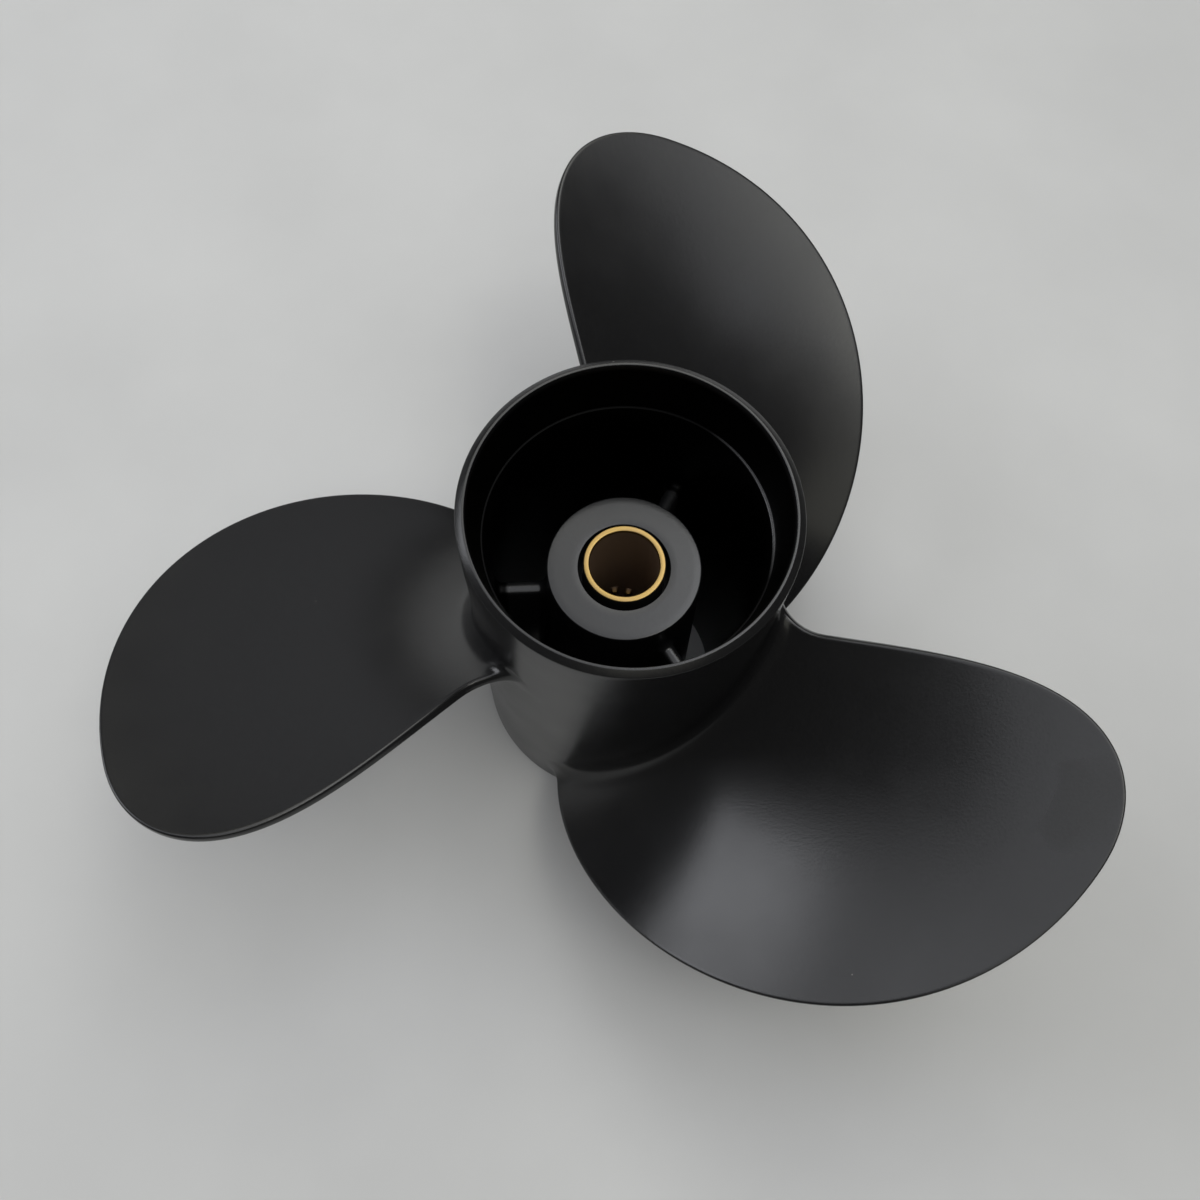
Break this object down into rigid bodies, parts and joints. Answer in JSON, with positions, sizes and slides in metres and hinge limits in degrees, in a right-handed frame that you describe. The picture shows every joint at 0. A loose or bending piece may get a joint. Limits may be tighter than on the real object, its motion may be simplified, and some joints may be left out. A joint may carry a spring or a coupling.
{
  "type": "outboard boat propeller",
  "caption": "Right-hand outboard boat propeller: raked blades on a black cast exhaust barrel, inner hub on ribs, rubber bush and splined brass sleeve.",
  "frame": {"origin": "on the shaft axis at the balance point, 62 mm aft of the barrel's forward end", "axes": "+Z along the shaft towards the stern; seen from astern (from +Z) the tip of blade_1 is 29.3 degrees clockwise from +X, and the others follow every 120 degrees"},
  "size_m": [0.2678, 0.2551, 0.1355],
  "materials": {
    "black_paint": "satin",
    "black_rubber": "matte",
    "brass": "satin"
  },
  "bodies": {
    "root": {"barrel": "black_paint", "inner_hub": "black_paint", "rib_1": "black_paint", "rib_2": "black_paint", "rib_3": "black_paint", "blade_1": "black_paint", "blade_2": "black_paint", "blade_3": "black_paint", "rubber_bush": "black_rubber", "brass_sleeve": "brass"}
  },
  "joints": []
}
